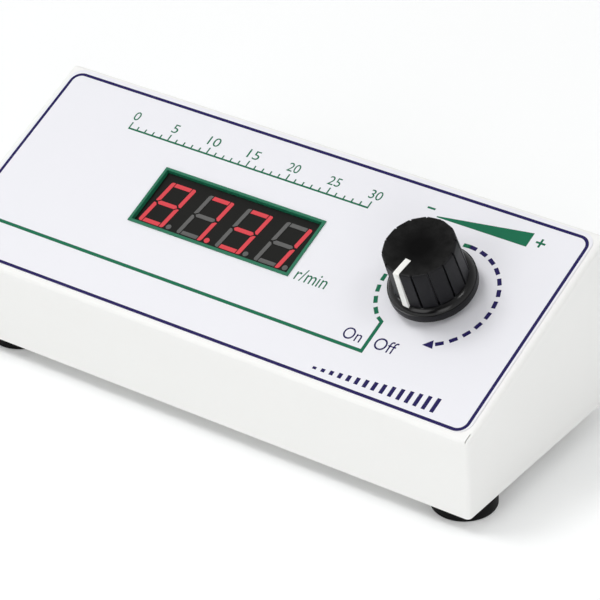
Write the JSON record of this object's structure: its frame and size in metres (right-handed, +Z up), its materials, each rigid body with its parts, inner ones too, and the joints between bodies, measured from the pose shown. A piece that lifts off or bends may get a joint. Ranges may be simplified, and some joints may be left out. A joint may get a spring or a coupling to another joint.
{
  "type": "homogenizer speed control box",
  "caption": "Wedge-shaped white sheet-metal speed-control box of a laboratory homogenizer, with a sloping printed panel, a red LED number display and a fluted black knob.",
  "frame": {"origin": "on the bench under the middle of the whole part's bounding box", "axes": "+X to the right as the operator faces the panel, +Y to the back, +Z up"},
  "size_m": [0.175, 0.0746, 0.0629],
  "materials": {
    "white_paint": "satin",
    "grey_paint": "satin",
    "film": "matt",
    "green_plastic": "glossy",
    "display_black": "matt",
    "segment_red": "glowing",
    "segment_grey": "matt",
    "knob_black": "satin",
    "pointer_white": "satin",
    "rubber": "matt",
    "black_plastic": "satin",
    "steel": "bright",
    "nickel": "bright",
    "aluminium": "satin",
    "brass": "bright",
    "fuse_glass": "clear",
    "board_green": "satin",
    "phenolic": "matt",
    "core_blue": "matt",
    "capacitor_yellow": "satin",
    "winding_brown": "glossy",
    "block_green": "satin",
    "lead_brown": "satin",
    "lead_blue": "satin",
    "lead_red": "satin",
    "ribbon_grey": "satin"
  },
  "bodies": {
    "box": {"cover": "white_paint", "chassis": "grey_paint", "panel_film": "film", "display_bezel": "green_plastic", "display_module": "display_black", "lit_segments": "segment_red", "dark_segments": "segment_grey", "display_pins": "steel", "display_board": "board_green", "display_studs": "steel", "display_screws": "steel", "pot_bushing": "steel", "pot_can": "steel", "pot_track": "phenolic", "pot_terminals": "steel", "pot_switch": "black_plastic", "pot_washer": "steel", "pot_nut": "steel", "foot_front_left": "rubber", "foot_front_right": "rubber", "foot_rear_left": "rubber", "foot_rear_right": "rubber", "foot_screws": "steel", "foot_nuts": "steel", "base_screws": "steel", "rear_screws": "steel", "mains_inlet": "black_plastic", "inlet_pins": "steel", "inlet_screws": "steel", "inlet_nuts": "steel", "fuse_holder": "black_plastic", "fuse_holder_nut": "black_plastic", "fuse_terminals": "steel", "motor_socket": "nickel", "socket_insert": "black_plastic", "socket_pins": "brass", "socket_nut": "nickel", "control_board": "board_green", "board_spacers": "steel", "board_screws": "steel", "transformer": "core_blue", "heat_sink": "aluminium", "triac": "black_plastic", "capacitors": "capacitor_yellow", "choke": "winding_brown", "chips": "black_plastic", "terminal_block": "block_green", "mains_leads": "lead_brown", "motor_leads": "lead_blue", "pot_leads": "lead_red", "display_ribbon": "ribbon_grey"},
    "knob": {"pot_shaft": "aluminium", "pot_wiper": "brass", "knob": "knob_black", "knob_pointer": "pointer_white", "knob_insert": "brass"},
    "fuse_carrier": {"fuse_carrier": "black_plastic", "fuse_link": "fuse_glass"},
    "fuse_cap": {"fuse_cap": "black_plastic"}
  },
  "joints": [
    {"name": "knob_turn", "type": "hinge", "parent": "box", "child": "knob", "pos_m": [0.0547, -0.00248, 0.04222], "axis": [0, 0.3922, -0.9199], "range_deg": [0, 300]},
    {"name": "fuse_draw", "type": "slide", "parent": "box", "child": "fuse_carrier", "axis": [0, 1, 0], "range_m": [0, 0.03]},
    {"name": "fuse_cap_turn", "type": "hinge", "parent": "fuse_carrier", "child": "fuse_cap", "pos_m": [0.034, 0.03, 0.0224], "axis": [0, 1, 0], "range_deg": [0, 60]}
  ]
}
